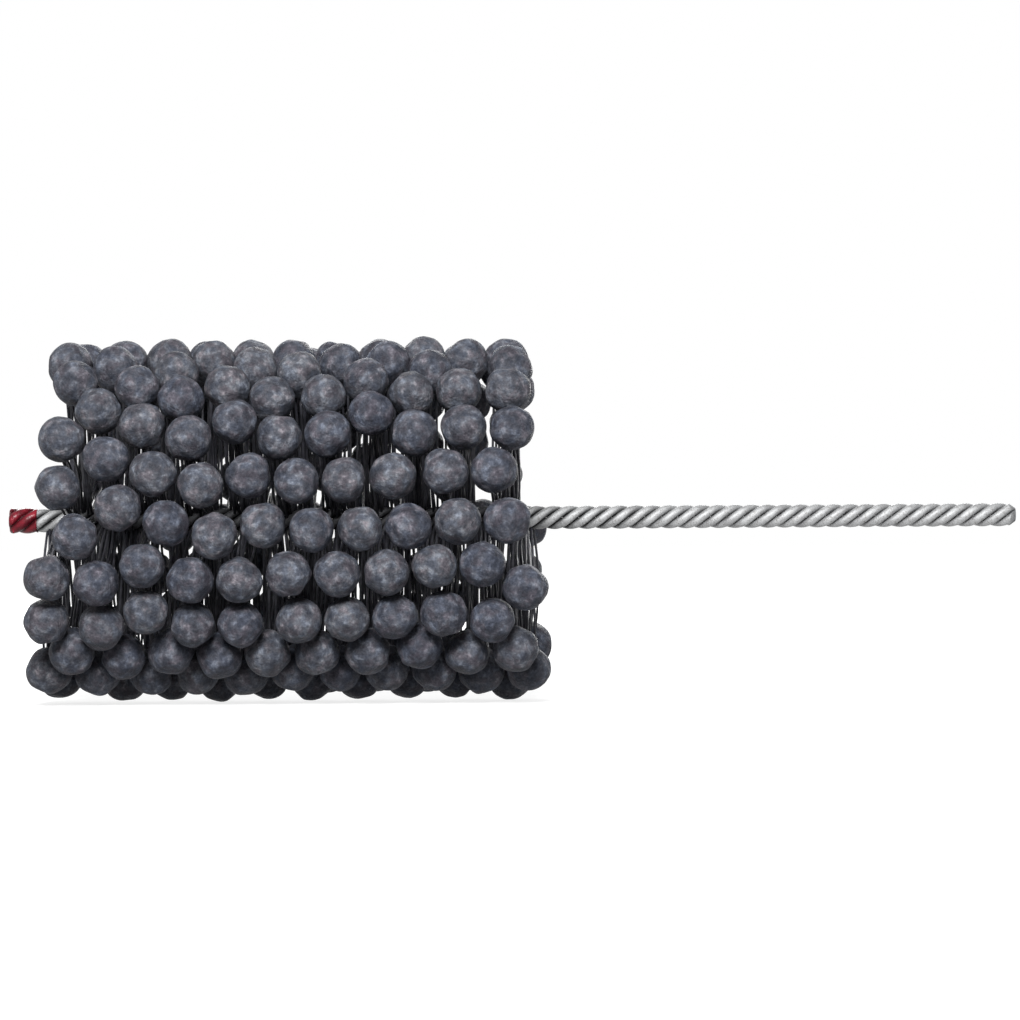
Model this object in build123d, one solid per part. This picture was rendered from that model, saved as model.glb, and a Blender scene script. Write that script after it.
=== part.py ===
from build123d import *
import math
import os

import numpy as np

os.makedirs("parts", exist_ok=True)

# A flexible ball hone: abrasive globules on nylon filaments that a stem of twisted wires grips.
# The stem lies along X with its free end at the origin, the coloured tip is at -X, and +Z is up.
# Lengths are in millimetres and angles in degrees.

# Stem
shank_length = 94.0
coat_length = 103.0
tip_length = 6.0
wire_count = 4
wire_diameter = 1.78
wire_gap = 0.08
lay_length = 13.3
end_cone_length = 1.5
end_cone_depth = 1.1

# Colour dip over the tip
dip_length = 5.6
dip_wall = 0.22
dip_cap = 0.5
dip_fit = 0.02
dip_core_share = 0.8

# Coat of globules, a little longer along its lower side than along its top
# The bare share is what they leave open of the surface that their centres lie on when pressed in
free_diameter = 74.0
press_travel = 2.0
row_count = 20
globule_diameter = 9.45
globule_variation = 0.4
globule_clearance = 0.2
bare_share = 0.224
neck_diameter = 3.6
neck_length = 0.4
lower_splay = 5.2

# The coat is wound with a fixed turn from each globule to the next, then shaken out of order
turn_step = 54.0
scatter = 3.0
depth_scatter = 0.8
end_scatter = 2.5
scatter_seed = 234
settle_rounds = 500
settle_margin = 0.03

# Filaments
filaments_per_globule = 4
filament_diameter = 0.8
filament_gap = 0.08
root_clearance = 0.5

stem_length = shank_length + coat_length + tip_length
coat_middle = -shank_length - coat_length / 2
wire_radius = wire_diameter / 2
coat_radius = (free_diameter - globule_diameter) / 2
pressed_radius = coat_radius - press_travel
pressed_surface = 2 * math.pi * pressed_radius * coat_length
globule_room = math.pi / 4 * (globule_diameter + globule_clearance) ** 2
globule_count = round((1 - bare_share) * pressed_surface / globule_room)
row_angle = 2 * math.pi / row_count
ring_radius = (filament_diameter + filament_gap) / 2 / math.sin(math.pi / filaments_per_globule)
bundle_width = 2 * ring_radius + filament_diameter


def find_lay_radius():
    """The radius at which the slanting wires' sections are the wire gap apart."""
    half_width = (wire_diameter + wire_gap) / 2
    half_step = math.pi / wire_count
    slant = 2 * math.pi * half_width / lay_length
    return half_width / math.sqrt(math.sin(half_step) ** 2 - (slant * math.cos(half_step)) ** 2)


lay_radius = find_lay_radius()
lay_slant = math.atan(2 * math.pi * lay_radius / lay_length)
stem_radius = lay_radius + wire_radius
root_radius = stem_radius + root_clearance


def wire_section(number, growth):
    """A wire's cross-section in the YZ plane at the origin, an ellipse because the wire slants."""
    radius = wire_radius + growth
    section = Ellipse(radius, radius / math.cos(lay_slant))
    return Rot(0, 0, 360 / wire_count * number) * Pos(lay_radius, 0) * section


def twist(section, start, end):
    """A section drawn for the origin, twisted left-handed about X from one place to another."""
    turned = Rot(0, 0, -360 * start / lay_length) * section
    face = (Plane.YZ.offset(start) * turned).face()
    length = end - start
    turn = -360 * length / lay_length
    return Solid.extrude_linear_with_rotation(face, (start, 0, 0), (length, 0, 0), turn)


def blunt_envelope():
    """A round bar over the whole stem, with the blunt cone that the free end is dressed to."""
    bar_radius = stem_radius + wire_gap
    profile = Polyline(
        (-stem_length, 0),
        (-stem_length, bar_radius),
        (-end_cone_length, bar_radius),
        (0, bar_radius - end_cone_depth),
        (0, 0),
        close=True,
    )
    return revolve(make_face(profile), Axis.X)


def wire_strand(number, envelope):
    """One wire of the stem, from the inside of the dip's cap to the free end."""
    return twist(wire_section(number, 0), -stem_length + dip_cap, 0) & envelope


def lobed_section(growth, core_radius):
    """The outline round all the wires, grown outwards, with its middle filled."""
    outline = Circle(core_radius)
    for number in range(wire_count):
        outline += wire_section(number, growth)
    return outline


def tip_dip():
    """The thin coloured cap that was dipped over the wire ends and follows their twist."""
    core_radius = dip_core_share * lay_radius
    outside = twist(lobed_section(dip_wall, core_radius), -stem_length, -stem_length + dip_length)
    hollow_end = -stem_length + dip_length + wire_gap
    hollow = twist(lobed_section(dip_fit, core_radius), -stem_length + dip_cap, hollow_end)
    return outside - hollow


def on_cylinder(along, angle, radius):
    """Points at an angle from +Z towards -Y and at a radius from the stem's axis, one to a line."""
    return np.stack([along, -radius * np.sin(angle), radius * np.cos(angle)], axis=-1)


def angle_of(points):
    """The angle of each point from +Z towards -Y, from nothing to a whole turn."""
    return np.arctan2(-points[:, 1], points[:, 2]) % (2 * math.pi)


def settle(points, spacing, low, high):
    """Push points apart, each kept at its own radius and between its ends, to their pairs' spacing."""
    points = points.copy()
    radii = np.hypot(points[:, 1], points[:, 2])
    for _ in range(settle_rounds):
        apart = points[:, None] - points[None, :]
        gap = np.linalg.norm(apart, axis=2)
        np.fill_diagonal(gap, np.inf)
        shortfall = np.clip(spacing - gap, 0, None) / gap
        points += (apart * shortfall[..., None]).sum(axis=1) / 2
        points[:, 1:] *= (radii / np.hypot(points[:, 1], points[:, 2]))[:, None]
        points[:, 0] = np.clip(points[:, 0], low, high)
    return points


def pressed_globules(random):
    """Each globule's diameter and its centre while the whole coat is pressed in to its limit."""
    numbers = np.arange(globule_count)
    angles = np.radians(turn_step) * numbers % (2 * math.pi)
    diameters = globule_diameter - random.uniform(0, globule_variation, globule_count)
    reach = (coat_length - lower_splay * np.cos(angles) - diameters) / 2
    alongs = (2 * numbers + 1 - globule_count) / globule_count * reach
    alongs += random.uniform(-scatter, scatter, globule_count)
    angles += random.uniform(-scatter, scatter, globule_count) / pressed_radius
    radii = pressed_radius - random.uniform(0, depth_scatter, globule_count)
    low = coat_middle - reach + random.uniform(0, end_scatter, globule_count)
    high = coat_middle + reach - random.uniform(0, end_scatter, globule_count)
    spacing = (diameters[:, None] + diameters[None, :]) / 2 + globule_clearance + settle_margin
    rough = on_cylinder(coat_middle + alongs, angles, radii)
    return diameters, settle(rough, spacing, low, high)


def place_globules():
    """Each globule's row, diameter, centre at rest and filament root at the stem."""
    diameters, pressed = pressed_globules(np.random.default_rng(scatter_seed))
    rows = (angle_of(pressed) / row_angle).astype(int)
    outwards = on_cylinder(0 * diameters, (rows + 0.5) * row_angle, 1)
    centres = pressed + press_travel * outwards
    roots = on_cylinder(centres[:, 0], angle_of(centres), root_radius)
    roots = settle(roots, bundle_width + filament_gap, -stem_length + dip_length, -shank_length)
    return zip(rows, diameters, centres, roots)


def globule(diameter):
    """An abrasive globule about the origin, drawn in to a flat neck towards -Z."""
    radius = diameter / 2
    neck_radius = neck_diameter / 2
    neck_end = radius + neck_length
    reach = math.hypot(neck_radius, neck_end)
    tangent = math.atan2(neck_end, neck_radius) - math.acos(radius / reach)
    cap = CenterArc((0, 0), radius, -math.degrees(tangent), 90 + math.degrees(tangent))
    neck = Polyline(cap @ 0, (neck_radius, -neck_end), (0, -neck_end), cap @ 1)
    return revolve(Plane.XZ * make_face([cap, neck]), Axis.Z)


def filament_bundle(length):
    """The filaments that carry one globule, side by side from their roots up +Z to its neck."""
    spots = PolarLocations(ring_radius, filaments_per_globule, start_angle=180 / filaments_per_globule)
    upright = (Align.CENTER, Align.CENTER, Align.MIN)
    return [spot * Cylinder(filament_diameter / 2, length, align=upright) for spot in spots]


def coat_rows():
    """The solids of each row, as two lists of lists: the globules and the filaments."""
    globules = [[] for _ in range(row_count)]
    filaments = [[] for _ in range(row_count)]
    for row, diameter, centre, root in place_globules():
        lean = Vector(*centre) - Vector(*root)
        seat = Plane(origin=tuple(centre), x_dir=(1, 0, 0), z_dir=lean)
        foot = Plane(origin=tuple(root), x_dir=(1, 0, 0), z_dir=lean)
        globules[row].append(seat * globule(diameter))
        length = lean.length - diameter / 2 - neck_length
        filaments[row] += [foot * filament for filament in filament_bundle(length)]
    return globules, filaments


def write(name, solids):
    """Write the solids of one node to its file."""
    export_step(Compound([solid for shape in solids for solid in shape.solids()]), f"parts/{name}.step")


envelope = blunt_envelope()
for number in range(wire_count):
    write(f"wire_strand_{number + 1}", [wire_strand(number, envelope)])
write("tip_dip", [tip_dip()])
for row, (globules, filaments) in enumerate(zip(*coat_rows()), start=1):
    write(f"globule_row_{row:02d}", globules)
    write(f"filament_row_{row:02d}", filaments)
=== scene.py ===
import math

import bmesh
import bpy
import numpy as np
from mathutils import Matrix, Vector, noise


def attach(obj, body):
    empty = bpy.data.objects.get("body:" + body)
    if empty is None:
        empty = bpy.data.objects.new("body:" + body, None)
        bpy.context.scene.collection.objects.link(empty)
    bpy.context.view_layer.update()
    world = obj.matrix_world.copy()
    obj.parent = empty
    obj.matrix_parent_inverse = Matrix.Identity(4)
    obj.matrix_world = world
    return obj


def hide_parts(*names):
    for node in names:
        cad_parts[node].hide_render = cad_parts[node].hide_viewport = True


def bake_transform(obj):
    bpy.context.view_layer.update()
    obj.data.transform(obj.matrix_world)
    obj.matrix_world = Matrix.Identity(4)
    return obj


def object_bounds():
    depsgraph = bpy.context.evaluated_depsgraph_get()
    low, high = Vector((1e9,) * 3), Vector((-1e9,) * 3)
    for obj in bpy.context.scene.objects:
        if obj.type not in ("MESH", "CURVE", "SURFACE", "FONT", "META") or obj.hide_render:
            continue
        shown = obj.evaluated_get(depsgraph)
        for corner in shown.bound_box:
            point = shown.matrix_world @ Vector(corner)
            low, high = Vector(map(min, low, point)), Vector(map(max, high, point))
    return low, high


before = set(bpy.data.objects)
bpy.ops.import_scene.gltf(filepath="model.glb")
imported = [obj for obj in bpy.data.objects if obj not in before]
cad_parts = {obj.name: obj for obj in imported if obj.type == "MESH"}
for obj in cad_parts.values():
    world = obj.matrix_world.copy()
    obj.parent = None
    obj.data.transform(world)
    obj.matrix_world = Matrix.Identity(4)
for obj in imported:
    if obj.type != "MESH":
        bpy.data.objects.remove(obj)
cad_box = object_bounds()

MM = 0.001
SEED = 42

# The photograph's frame in its own pixels, and how low the stem's axis lies in it at each side
FRAME_PIXELS = 1020
METRES_PER_PIXEL = 0.202 * MM
FREE_END_PIXEL = 1015
AXIS_PIXEL_LEFT, AXIS_PIXEL_RIGHT = 521.0, 514.5
CAMERA_DISTANCE = 0.75
NEAREST_SEEN, FARTHEST_SEEN = 0.01, 20
SENSOR_WIDTH = 36.0

# Corners of a CAD mesh that are nearer than this are the same corner
SAME_CORNER = 0.001 * MM

# Globules: their flat spots, lumps and dimples, as shares of the radius, and the neck
GLOBULE_DETAIL = 5
FLAT_COUNT = 24
FLAT_DEPTHS = 0.025, 0.085
FLAT_SHARPNESS = 45
FLAT_LEAST_COSINE = 0.5
LUMP_SHARE = 0.050
DIMPLE_SHARE = 0.015
LUMP_SIZE = 4.4 * MM
DIMPLE_SIZE = 1.3 * MM
ROUGH_GAIN, ROUGH_LIFT = 1.3, 0.15
ROUGH_SHIFT = 50
NECK_REACH = 0.45 * MM
NECK_SPREAD = math.radians(32)

# Filaments: a bundle widens from its root in the stem to its neck in the globule
FILAMENTS_PER_GLOBULE = 5
FILAMENT_RADIUS = 0.26 * MM
BUNDLE_ROOT_RADIUS = 0.85 * MM
BUNDLE_NECK_RADIUS = 1.35 * MM
BUNDLE_SHARES = 0.75, 1.0
BUNDLE_WANDER = 0.2
ROOT_DEPTH = 0.9 * MM
NECK_DEPTH = 1.2 * MM
FILAMENT_BOW = 0.9 * MM
FILAMENT_STEPS = 7
FILAMENT_SIDES = 7

# The dip's rounded end: its length along the stem, and how much of its radius it draws in
DIP_ROUNDING = 0.8 * MM
DIP_DRAW_IN = 0.18
DIP_CUTS = 10
DIP_EDGE_ANGLE = math.radians(50)
WELD_DISTANCE = 0.002 * MM

# The stem's grooves and crests, and the dip's, as distances from the stem's axis
GROOVE_RADIUS = 1.45 * MM
CREST_RADIUS = 2.30 * MM
DIP_GROOVE_RADIUS = 1.80 * MM
DIP_CREST_RADIUS = 2.56 * MM

# How far the painted shade in the grooves reaches out of the coat along the wires, and how far inside
# the coat's ends the painted shade over the wires is whole and gone
BESIDE_COAT_SHADE_LENGTH = 28 * MM
IN_COAT_SHADE_WHOLE = 14 * MM
IN_COAT_SHADE_GONE = 6 * MM

# Most of a noise texture's values lie between these
NOISE_LOW, NOISE_HIGH = 0.3, 0.7

# The colour sockets of a Mix node, which shares their names with its sockets for numbers
MIX_FIRST, MIX_SECOND, MIX_RESULT = 6, 7, 2

# The floor glows a little less near the object, so that it turns into the background
FLOOR_HALF = 3.0
FLOOR_GAP = 0.05 * MM
FLOOR_GLOW_NEAR, FLOOR_GLOW_FAR = 0.78, 1.0
FLOOR_NEAR, FLOOR_FAR = 0.12, 0.30

# Colours over a value from 0 to 1, as (value, (red, green, blue)). GRIT_COLOURS, NYLON_COLOURS,
# ZINC_COLOURS and DIP_COLOURS are the pieces' own, and the others multiply them.
GRIT_COLOURS = [
    (0.34, (0.032, 0.034, 0.043)),
    (0.50, (0.056, 0.059, 0.072)),
    (0.66, (0.098, 0.103, 0.121)),
]
GRIT_SMEARS = [
    (0.38, (0.84, 0.84, 0.85)),
    (0.56, (1.0, 1.0, 1.0)),
    (0.70, (1.48, 1.47, 1.44)),
]
GRIT_GRAINS = [
    (0.36, (0.72, 0.72, 0.73)),
    (0.52, (1.0, 1.0, 1.0)),
    (0.68, (1.34, 1.34, 1.3)),
]
GRIT_HUES = [
    (0.0, (0.93, 0.985, 1.06)),
    (0.5, (1.0, 1.0, 1.0)),
    (1.0, (1.10, 0.98, 0.97)),
]
GLOBULE_TONES = [
    (0.0, (0.84, 0.85, 0.89)),
    (1.0, (1.15, 1.14, 1.10)),
]
NYLON_COLOURS = [
    (0.42, (0.030, 0.031, 0.037)),
    (0.75, (0.064, 0.065, 0.076)),
]
FILAMENT_TONES = [
    (0.0, (0.6, 0.6, 0.64)),
    (1.0, (1.4, 1.38, 1.34)),
]
ZINC_COLOURS = [
    (0.30, (0.26, 0.26, 0.265)),
    (0.50, (0.34, 0.345, 0.35)),
    (0.72, (0.42, 0.425, 0.43)),
]
ZINC_SPECKS = [
    (0.33, (0.66, 0.64, 0.62)),
    (0.48, (1.0, 1.0, 1.0)),
]
# Painted shade in the stem's grooves: darker where the wires meet, nearer the axis
GROOVE_PAINTED_SHADE = [
    (0.0, (0.46, 0.46, 0.465)),
    (0.50, (0.68, 0.68, 0.685)),
    (0.85, (0.88, 0.88, 0.88)),
    (1.0, (0.96, 0.96, 0.96)),
]
# Painted shade that deepens the stem's grooves beside the coat
PAINTED_SHADE_BESIDE_COAT = [
    (0.0, (0.22, 0.22, 0.23)),
    (0.4, (0.46, 0.46, 0.46)),
    (0.8, (0.94, 0.94, 0.94)),
    (1.0, (1.0, 1.0, 1.0)),
]
# Painted shade over the wires inside the coat, where the coat shades them
PAINTED_SHADE_IN_COAT = [
    (0.0, (0.14, 0.14, 0.15)),
    (0.6, (0.45, 0.45, 0.46)),
    (1.0, (1.0, 1.0, 1.0)),
]
DIP_COLOURS = [
    (0.30, (0.044, 0.002, 0.005)),
    (0.52, (0.105, 0.004, 0.010)),
    (0.72, (0.175, 0.009, 0.017)),
]
# Painted shade in the dip's grooves and painted highlights on its crests
DIP_PAINTED_SHADE_AND_HIGHLIGHT = [
    (0.0, (0.10, 0.10, 0.10)),
    (0.6, (0.50, 0.50, 0.50)),
    (1.0, (1.3, 1.3, 1.3)),
]

random = np.random.default_rng(SEED)


def solid_corners(name):
    """The corner points of each separate solid in a CAD node, found by following its edges."""
    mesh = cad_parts[name].data
    points = np.empty(len(mesh.vertices) * 3, np.float32)
    mesh.vertices.foreach_get("co", points)
    points = points.reshape(-1, 3)
    cells = np.round(points / SAME_CORNER).astype(np.int64)
    corner_numbers = np.unique(cells, axis=0, return_inverse=True)[1].reshape(-1)
    label = np.arange(corner_numbers.max() + 1)
    edges = np.empty(len(mesh.edges) * 2, np.int32)
    mesh.edges.foreach_get("vertices", edges)
    ends = corner_numbers[edges].reshape(-1, 2)
    while True:
        low = np.minimum(label[ends[:, 0]], label[ends[:, 1]])
        before = label.copy()
        np.minimum.at(label, ends[:, 0], low)
        np.minimum.at(label, ends[:, 1], low)
        label = label[label]
        if (label == before).all():
            break
    group = label[corner_numbers]
    return [points[group == number].astype(float) for number in np.unique(group)]


def sphere_through(points):
    """The centre and radius of the sphere that the points lie on."""
    matrix = np.column_stack([2 * points, np.ones(len(points))])
    solution = np.linalg.lstsq(matrix, (points**2).sum(axis=1), rcond=None)[0]
    centre = solution[:3]
    return centre, math.sqrt(solution[3] + centre @ centre)


def read_globules(row):
    """Each globule of a row as (centre, radius)."""
    found = []
    for corners in solid_corners(f"globule_row_{row}"):
        reach = np.hypot(corners[:, 1], corners[:, 2])
        outer_half = corners[reach > (reach.min() + reach.max()) / 2]
        found.append(sphere_through(outer_half))
    return found


def read_bundles(row, globules):
    """Each globule's filament root and neck, the middles of its filaments' two ends."""
    roots = [[] for _ in globules]
    necks = [[] for _ in globules]
    centres = np.array([centre for centre, _ in globules])
    for corners in solid_corners(f"filament_row_{row}"):
        reach = np.hypot(corners[:, 1], corners[:, 2])
        middle = (reach.min() + reach.max()) / 2
        neck = corners[reach > middle].mean(axis=0)
        owner = np.linalg.norm(centres - neck, axis=1).argmin()
        roots[owner].append(corners[reach <= middle].mean(axis=0))
        necks[owner].append(neck)
    return [(np.mean(root, axis=0), np.mean(neck, axis=0)) for root, neck in zip(roots, necks)]


def unit_sphere(detail):
    """The directions and triangles of an evenly divided sphere."""
    ball = bmesh.new()
    bmesh.ops.create_icosphere(ball, subdivisions=detail, radius=1)
    directions = np.array([corner.co[:] for corner in ball.verts])
    triangles = np.array([[corner.index for corner in face.verts] for face in ball.faces])
    ball.free()
    return directions, triangles


SPHERE_DIRECTIONS, SPHERE_TRIANGLES = unit_sphere(GLOBULE_DETAIL)


def rough_field(points, size, offset):
    """Smooth noise from 0 to 1 at each point, with features of about that size."""
    values = [noise.noise(Vector(point)) for point in points / size + offset]
    return np.clip(np.array(values) * ROUGH_GAIN + ROUGH_LIFT, 0, 1)


def flattened_reach():
    """How far a unit globule reaches each way, with rounded flat spots where it met its neighbours."""
    facings = random.normal(size=(FLAT_COUNT, 3))
    facings /= np.linalg.norm(facings, axis=1)[:, None]
    distances = 1 - random.uniform(*FLAT_DEPTHS, FLAT_COUNT)
    cosines = np.clip(SPHERE_DIRECTIONS @ facings.T, FLAT_LEAST_COSINE, 1)
    nearness = np.exp(-FLAT_SHARPNESS * (distances / cosines - 1)).sum(axis=1)
    return 1 - np.log1p(nearness) / FLAT_SHARPNESS


def globule_points(centre, radius, inward):
    """A lumpy globule's corners: a round blob of grit, drawn in a little towards its filaments."""
    offset = random.uniform(-ROUGH_SHIFT, ROUGH_SHIFT, 3)
    surface = SPHERE_DIRECTIONS * radius
    hollow = 1 - flattened_reach()
    hollow += LUMP_SHARE * rough_field(surface, LUMP_SIZE, offset)
    hollow += DIMPLE_SHARE * rough_field(surface, DIMPLE_SIZE, offset)
    angle = np.arccos(np.clip(SPHERE_DIRECTIONS @ inward, -1, 1))
    neck = NECK_REACH * np.exp(-((angle / NECK_SPREAD) ** 2))
    reach = radius * (1 - hollow) + neck
    return centre + SPHERE_DIRECTIONS * reach[:, None]


def new_object(name, data):
    """A new object in the scene."""
    item = bpy.data.objects.new(name, data)
    bpy.context.scene.collection.objects.link(item)
    return item


def smooth_piece(name, mesh, material):
    """A smooth-shaded object of a mesh, with one material."""
    mesh.polygons.foreach_set("use_smooth", [True] * len(mesh.polygons))
    mesh.materials.clear()
    mesh.materials.append(material)
    return new_object(name, mesh)


def new_piece(name, points, faces, material):
    """A smooth-shaded object of points and faces, with one material."""
    mesh = bpy.data.meshes.new(name)
    mesh.from_pydata([tuple(point) for point in points], [], [tuple(face) for face in faces])
    return smooth_piece(name, mesh, material)


def set_tone(piece, tones):
    """Keep one tone from 0 to 1 for each point, which the material reads."""
    attribute = piece.data.attributes.new("tone", "FLOAT", "POINT")
    attribute.data.foreach_set("value", np.asarray(tones, np.float32))


def tube_faces(steps, sides):
    """The faces of one closed tube whose rings follow each other."""
    faces = []
    for step in range(steps - 1):
        for side in range(sides):
            after = (side + 1) % sides
            low, high = step * sides, (step + 1) * sides
            faces.append((low + side, low + after, high + after, high + side))
    faces.append(tuple(reversed(range(sides))))
    faces.append(tuple(range((steps - 1) * sides, steps * sides)))
    return faces


def filament_points(start, end, across, bow):
    """The rings of one filament, a thin round tube that bows a little between its two ends."""
    along = (end - start) / np.linalg.norm(end - start)
    up = across - along * (across @ along)
    up /= np.linalg.norm(up)
    side = np.cross(along, up)
    share = np.linspace(0, 1, FILAMENT_STEPS)[:, None]
    line = start + (end - start) * share + bow * np.sin(math.pi * share)
    angles = np.linspace(0, 2 * math.pi, FILAMENT_SIDES, endpoint=False)
    ring = np.cos(angles)[:, None] * up + np.sin(angles)[:, None] * side
    return (line[:, None] + FILAMENT_RADIUS * ring[None]).reshape(-1, 3)


def bundle_spots(count):
    """Places in a round bundle as (share of its radius, angle), one in the middle and the rest round."""
    spots = [(0.0, 0.0)]
    for number in range(count - 1):
        share = random.uniform(*BUNDLE_SHARES)
        place = number + random.uniform(-BUNDLE_WANDER, BUNDLE_WANDER)
        spots.append((share, 2 * math.pi * place / (count - 1)))
    return spots


def filament_bundle(root, neck):
    """The rings of every filament of one globule, from inside the stem to inside the globule."""
    outward = (neck - root) / np.linalg.norm(neck - root)
    across = np.array([1.0, 0.0, 0.0])
    across -= outward * (across @ outward)
    across /= np.linalg.norm(across)
    side = np.cross(outward, across)
    rings = []
    for share, angle in bundle_spots(FILAMENTS_PER_GLOBULE):
        spread = math.cos(angle) * across + math.sin(angle) * side
        start = root - outward * ROOT_DEPTH + spread * share * BUNDLE_ROOT_RADIUS
        end = neck + outward * NECK_DEPTH + spread * share * BUNDLE_NECK_RADIUS
        sway = random.uniform(-1, 1, 2) * FILAMENT_BOW
        rings.append(filament_points(start, end, across, across * sway[0] + side * sway[1]))
    return rings


def stack(meshes, faces):
    """Equal meshes joined into one list of points and one list of faces."""
    joined = []
    for number in range(len(meshes)):
        first = len(meshes[0]) * number
        joined += [tuple(first + corner for corner in face) for face in faces]
    return np.concatenate(meshes), joined


def add_row(row, materials):
    """The globules and the filaments of one lengthwise row."""
    globules = read_globules(row)
    bundles = read_bundles(row, globules)
    shapes, tones, tubes = [], [], []
    for (centre, radius), (root, neck) in zip(globules, bundles):
        inward = (root - neck) / np.linalg.norm(root - neck)
        shapes.append(globule_points(centre, radius, inward))
        tones += [random.uniform()] * len(shapes[-1])
        tubes += filament_bundle(root, neck)
    points, faces = stack(shapes, SPHERE_TRIANGLES.tolist())
    balls = new_piece(f"grit_globules_{row}", points, faces, materials["globule"])
    set_tone(balls, tones)
    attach(balls, f"row_{row}")
    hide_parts(f"globule_row_{row}")
    points, faces = stack(tubes, tube_faces(FILAMENT_STEPS, FILAMENT_SIDES))
    strands = new_piece(f"nylon_filaments_{row}", points, faces, materials["filament"])
    set_tone(strands, np.repeat(random.uniform(size=len(tubes)), len(tubes[0])))
    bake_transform(strands)
    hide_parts(f"filament_row_{row}")


def add_dip(material):
    """The dip, with its end rounded off where the plastic drew in over the wire ends."""
    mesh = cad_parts["tip_dip"].data.copy()
    body = bmesh.new()
    body.from_mesh(mesh)
    bmesh.ops.remove_doubles(body, verts=body.verts, dist=WELD_DISTANCE)
    tip = min(corner.co.x for corner in body.verts)
    for cut in range(1, DIP_CUTS):
        along = tip + DIP_ROUNDING * (1 - math.cos(math.pi / 2 * cut / (DIP_CUTS - 1)))
        geometry = body.verts[:] + body.edges[:] + body.faces[:]
        bmesh.ops.bisect_plane(body, geom=geometry, plane_co=(along, 0, 0), plane_no=(1, 0, 0))
    for corner in body.verts:
        short = max(0, 1 - (corner.co.x - tip) / DIP_ROUNDING)
        corner.co.yz *= 1 - DIP_DRAW_IN * (1 - math.sqrt(1 - short**2))
    body.to_mesh(mesh)
    body.free()
    piece = smooth_piece("red_dip", mesh, material)
    mesh.set_sharp_from_angle(angle=DIP_EDGE_ANGLE)
    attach(piece, "stem")
    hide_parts("tip_dip")


def material_tree(name):
    """A new material with its node tree and its shader."""
    material = bpy.data.materials.new(name)
    material.use_nodes = True
    tree = material.node_tree
    return material, tree, tree.nodes["Principled BSDF"]


def object_place(tree):
    """Each point's place in the object's own coordinates."""
    return tree.nodes.new("ShaderNodeTexCoord").outputs["Object"]


def texture(tree, kind, size, **inputs):
    """A noise or cell texture in the object's own coordinates, with features of that size."""
    place = object_place(tree)
    node = tree.nodes.new(kind)
    node.inputs["Scale"].default_value = 1 / size
    for key, value in inputs.items():
        node.inputs[key].default_value = value
    tree.links.new(place, node.inputs["Vector"])
    return node


def ramp(tree, source, stops):
    """Colours over a source value from 0 to 1, as (position, (red, green, blue))."""
    node = tree.nodes.new("ShaderNodeValToRGB")
    elements = node.color_ramp.elements
    # Where a new stop starts makes no difference, because each is then moved to its position
    while len(elements) < len(stops):
        elements.new(0.5)
    for element, (position, colour) in zip(elements, stops):
        element.position = position
        element.color = (*colour, 1)
    tree.links.new(source, node.inputs["Fac"])
    return node.outputs["Color"]


def multiplied(tree, colour, *others):
    """A colour multiplied by others."""
    for other in others:
        node = tree.nodes.new("ShaderNodeMix")
        node.data_type = "RGBA"
        node.blend_type = "MULTIPLY"
        node.inputs["Factor"].default_value = 1
        tree.links.new(colour, node.inputs[MIX_FIRST])
        tree.links.new(other, node.inputs[MIX_SECOND])
        colour = node.outputs[MIX_RESULT]
    return colour


def value_range(tree, source, low=0, high=1, start=NOISE_LOW, end=NOISE_HIGH):
    """A source value stretched so that start and end become low and high."""
    node = tree.nodes.new("ShaderNodeMapRange")
    for key, value in (("From Min", start), ("From Max", end), ("To Min", low), ("To Max", high)):
        node.inputs[key].default_value = value
    tree.links.new(source, node.inputs["Value"])
    return node.outputs["Result"]


def calculated(tree, operation, *values):
    """The result of one of Blender's operations on values, each a number or a node's output."""
    node = tree.nodes.new("ShaderNodeMath")
    node.operation = operation
    for socket, value in zip(node.inputs, values):
        if isinstance(value, float):
            socket.default_value = value
        else:
            tree.links.new(value, socket)
    return node.outputs["Value"]


def length_of(tree, vector):
    """The length of a vector."""
    node = tree.nodes.new("ShaderNodeVectorMath")
    node.operation = "LENGTH"
    tree.links.new(vector, node.inputs[0])
    return node.outputs["Value"]


def distance_along(tree, start):
    """The distance of each point along the stem from a place on it."""
    split = tree.nodes.new("ShaderNodeSeparateXYZ")
    tree.links.new(object_place(tree), split.inputs["Vector"])
    shifted = calculated(tree, "SUBTRACT", split.outputs["X"], start)
    return calculated(tree, "ABSOLUTE", shifted)


def stem_reach(tree):
    """The distance of each point from the stem's axis, which is the X axis."""
    flat = tree.nodes.new("ShaderNodeVectorMath")
    flat.operation = "MULTIPLY"
    tree.links.new(object_place(tree), flat.inputs[0])
    flat.inputs[1].default_value = (0, 1, 1)
    return length_of(tree, flat.outputs["Vector"])


def add_bump(tree, shader, layers):
    """Bump from several heights, as (source, height in metres)."""
    normal = None
    for source, height in layers:
        node = tree.nodes.new("ShaderNodeBump")
        node.inputs["Distance"].default_value = height
        tree.links.new(source, node.inputs["Height"])
        if normal:
            tree.links.new(normal, node.inputs["Normal"])
        normal = node.outputs["Normal"]
    tree.links.new(normal, shader.inputs["Normal"])


def tone_attribute(tree):
    """The tone that each globule or filament keeps."""
    node = tree.nodes.new("ShaderNodeAttribute")
    node.attribute_name = "tone"
    return node.outputs["Fac"]


def coat_span():
    """The middle of the coat along the stem and half its length."""
    nodes = [node for name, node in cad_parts.items() if name.startswith("globule_row_")]
    ends = [corner[0] for node in nodes for corner in node.bound_box]
    return (min(ends) + max(ends)) / 2, (max(ends) - min(ends)) / 2


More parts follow.
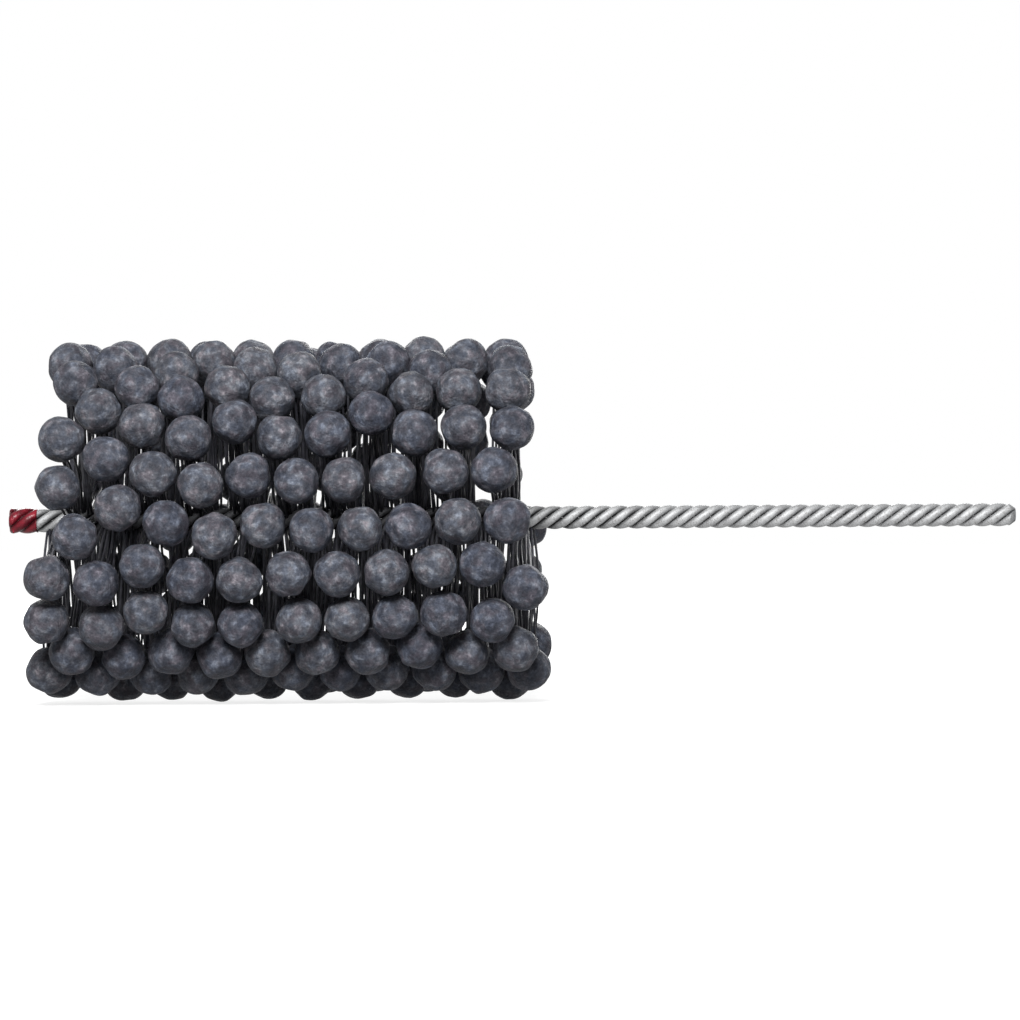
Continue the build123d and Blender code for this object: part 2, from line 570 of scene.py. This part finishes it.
def globule_material():
    """Dark slate grit in resin: matt, mottled and grainy, a little different on every globule."""
    material, tree, shader = material_tree("grit_in_resin")
    blotches = texture(tree, "ShaderNodeTexNoise", size=2.6 * MM, Detail=3, Roughness=0.55)
    smears = texture(tree, "ShaderNodeTexNoise", size=1.3 * MM, Detail=2)
    grains = texture(tree, "ShaderNodeTexNoise", size=0.42 * MM, Detail=4, Roughness=0.7)
    hues = texture(tree, "ShaderNodeTexNoise", size=2.1 * MM, Detail=2)
    pits = texture(tree, "ShaderNodeTexVoronoi", size=0.55 * MM)
    colour = multiplied(
        tree,
        ramp(tree, blotches.outputs["Fac"], GRIT_COLOURS),
        ramp(tree, smears.outputs["Fac"], GRIT_SMEARS),
        ramp(tree, value_range(tree, hues.outputs["Fac"], start=0.36, end=0.64), GRIT_HUES),
        ramp(tree, grains.outputs["Fac"], GRIT_GRAINS),
        ramp(tree, tone_attribute(tree), GLOBULE_TONES),
    )
    roughness = value_range(tree, blotches.outputs["Fac"], low=0.50, high=0.72)
    tree.links.new(colour, shader.inputs["Base Color"])
    tree.links.new(roughness, shader.inputs["Roughness"])
    shader.inputs["Specular IOR Level"].default_value = 0.10
    add_bump(tree, shader, [(grains.outputs["Fac"], 0.22 * MM), (pits.outputs["Distance"], 0.10 * MM)])
    return material


def filament_material():
    """Black nylon monofilament with a satin sheen and faint grey scuffs."""
    material, tree, shader = material_tree("black_nylon")
    scuffs = texture(tree, "ShaderNodeTexNoise", size=1.8 * MM, Detail=3)
    grains = texture(tree, "ShaderNodeTexNoise", size=0.3 * MM, Detail=2)
    colour = multiplied(
        tree,
        ramp(tree, scuffs.outputs["Fac"], NYLON_COLOURS),
        ramp(tree, tone_attribute(tree), FILAMENT_TONES),
    )
    roughness = value_range(tree, scuffs.outputs["Fac"], low=0.36, high=0.58)
    tree.links.new(colour, shader.inputs["Base Color"])
    tree.links.new(roughness, shader.inputs["Roughness"])
    shader.inputs["Specular IOR Level"].default_value = 0.15
    add_bump(tree, shader, [(grains.outputs["Fac"], 0.03 * MM)])
    return material


def wire_material():
    """Galvanised steel wire: pale zinc with duller patches and specks, and painted shade in the grooves.

    The painted shade deepens in the grooves beside the coat, and inside the coat painted shade darkens
    the whole wires.
    """
    material, tree, shader = material_tree("galvanised_wire")
    patches = texture(tree, "ShaderNodeTexNoise", size=2.2 * MM, Detail=5, Roughness=0.6)
    specks = texture(tree, "ShaderNodeTexNoise", size=0.35 * MM, Detail=3)
    reach = value_range(tree, stem_reach(tree), start=GROOVE_RADIUS, end=CREST_RADIUS)
    middle, half = coat_span()
    away = distance_along(tree, middle)
    beside = value_range(tree, away, start=half, end=half + BESIDE_COAT_SHADE_LENGTH)
    outside = value_range(tree, away, start=half - IN_COAT_SHADE_WHOLE, end=half - IN_COAT_SHADE_GONE)
    colour = multiplied(
        tree,
        ramp(tree, patches.outputs["Fac"], ZINC_COLOURS),
        ramp(tree, specks.outputs["Fac"], ZINC_SPECKS),
        # These three are painted shade: in the grooves, deeper beside the coat, and over the wires
        # inside the coat
        ramp(tree, reach, GROOVE_PAINTED_SHADE),
        ramp(tree, calculated(tree, "MAXIMUM", reach, beside), PAINTED_SHADE_BESIDE_COAT),
        ramp(tree, outside, PAINTED_SHADE_IN_COAT),
    )
    roughness = value_range(tree, patches.outputs["Fac"], low=0.58, high=0.74)
    tree.links.new(colour, shader.inputs["Base Color"])
    tree.links.new(roughness, shader.inputs["Roughness"])
    shader.inputs["Metallic"].default_value = 0.70
    add_bump(tree, shader, [(specks.outputs["Fac"], 0.05 * MM)])
    return material


def dip_material():
    """Dark red dipped plastic, glossy, with thin and thick places and small marks.

    It has painted shade in its grooves and painted highlights on its crests, but not on its end face,
    where the grooves' radius means nothing.
    """
    material, tree, shader = material_tree("red_dip")
    thickness = texture(tree, "ShaderNodeTexNoise", size=1.6 * MM, Detail=4)
    marks = texture(tree, "ShaderNodeTexNoise", size=0.4 * MM, Detail=3)
    reach = value_range(tree, stem_reach(tree), start=DIP_GROOVE_RADIUS, end=DIP_CREST_RADIUS)
    inward = distance_along(tree, cad_box[0].x)
    end_face = value_range(tree, inward, low=0.8, high=0, start=0.1 * MM, end=0.5 * MM)
    colour = multiplied(
        tree,
        ramp(tree, thickness.outputs["Fac"], DIP_COLOURS),
        # Painted shade in the grooves and painted highlights on the crests
        ramp(tree, calculated(tree, "MAXIMUM", reach, end_face), DIP_PAINTED_SHADE_AND_HIGHLIGHT),
    )
    roughness = value_range(tree, marks.outputs["Fac"], low=0.24, high=0.44)
    tree.links.new(colour, shader.inputs["Base Color"])
    tree.links.new(roughness, shader.inputs["Roughness"])
    shader.inputs["Specular IOR Level"].default_value = 0.2
    add_bump(tree, shader, [(thickness.outputs["Fac"], 0.10 * MM), (marks.outputs["Fac"], 0.03 * MM)])
    return material


def seen_directly(tree):
    """1 for rays from the camera, from mirrors and through glass, which see the background."""
    path = tree.nodes.new("ShaderNodeLightPath")
    total = path.outputs["Is Camera Ray"]
    for kind in ("Is Glossy Ray", "Is Transmission Ray"):
        total = calculated(tree, "MAXIMUM", total, path.outputs[kind])
    return total


def add_floor():
    """A plain floor that keeps the object's shadow and glows, to turn into the white background."""
    middle = (cad_box[0] + cad_box[1]) / 2
    corners = [(x * FLOOR_HALF, y * FLOOR_HALF, 0) for x, y in ((-1, -1), (1, -1), (1, 1), (-1, 1))]
    material, tree, shader = material_tree("studio_floor")
    shader.inputs["Base Color"].default_value = (0.35, 0.35, 0.35, 1)
    shader.inputs["Roughness"].default_value = 1.0
    shader.inputs["Specular IOR Level"].default_value = 0.0
    shader.inputs["Emission Color"].default_value = (1, 1, 1, 1)
    distance = length_of(tree, object_place(tree))
    glow = value_range(tree, distance, FLOOR_GLOW_NEAR, FLOOR_GLOW_FAR, FLOOR_NEAR, FLOOR_FAR)
    seen_glow = calculated(tree, "MULTIPLY", seen_directly(tree), glow)
    tree.links.new(seen_glow, shader.inputs["Emission Strength"])
    floor = new_piece("studio_floor", corners, [(0, 1, 2, 3)], material)
    floor.location = (middle.x, middle.y, cad_box[0].z - FLOOR_GAP)


def add_world():
    """A white background to look at, and a plain soft fill for the light itself."""
    world = bpy.data.worlds.new("studio_world")
    bpy.context.scene.world = world
    world.use_nodes = True
    tree = world.node_tree
    background = tree.nodes["Background"]
    background.inputs["Color"].default_value = (1, 1, 1, 1)
    strength = value_range(tree, seen_directly(tree), low=0.15, high=1.0, start=0, end=1)
    tree.links.new(strength, background.inputs["Strength"])


def add_lamp(name, place, size, watts):
    """A soft square lamp that faces the middle of the object."""
    data = bpy.data.lights.new(name, "AREA")
    data.size = size
    data.energy = watts
    lamp = new_object(name, data)
    lamp.location = place
    target = (cad_box[0] + cad_box[1]) / 2
    lamp.rotation_mode = "QUATERNION"
    lamp.rotation_quaternion = (target - lamp.location).to_track_quat("-Z", "Y")


def add_camera():
    """The photograph's view: square on to the stem, which rises a little to the right."""
    data = bpy.data.cameras.new("camera")
    data.sensor_width = SENSOR_WIDTH
    data.lens = SENSOR_WIDTH * CAMERA_DISTANCE / (FRAME_PIXELS * METRES_PER_PIXEL)
    data.clip_start, data.clip_end = NEAREST_SEEN, FARTHEST_SEEN
    camera = new_object("camera", data)
    middle = FRAME_PIXELS / 2
    across = (middle - FREE_END_PIXEL) * METRES_PER_PIXEL
    above = ((AXIS_PIXEL_LEFT + AXIS_PIXEL_RIGHT) / 2 - middle) * METRES_PER_PIXEL
    roll = math.atan((AXIS_PIXEL_LEFT - AXIS_PIXEL_RIGHT) / FREE_END_PIXEL)
    camera.location = (across, -CAMERA_DISTANCE, above)
    camera.rotation_euler = (math.pi / 2, roll, 0)
    bpy.context.scene.camera = camera


materials = {"globule": globule_material(), "filament": filament_material()}
rows = sorted(name.rsplit("_", 1)[1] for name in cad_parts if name.startswith("globule_row_"))
for row in rows:
    add_row(row, materials)

wire = wire_material()
for name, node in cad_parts.items():
    if name.startswith("wire_strand"):
        node.data.materials.clear()
        node.data.materials.append(wire)
add_dip(dip_material())

add_floor()
add_world()
add_lamp("key", place=(-0.18, -0.68, 0.40), size=0.28, watts=13.0)
add_lamp("back", place=(-0.05, 0.76, 0.10), size=0.70, watts=15.0)
add_camera()
bpy.context.scene.view_settings.view_transform = "Standard"
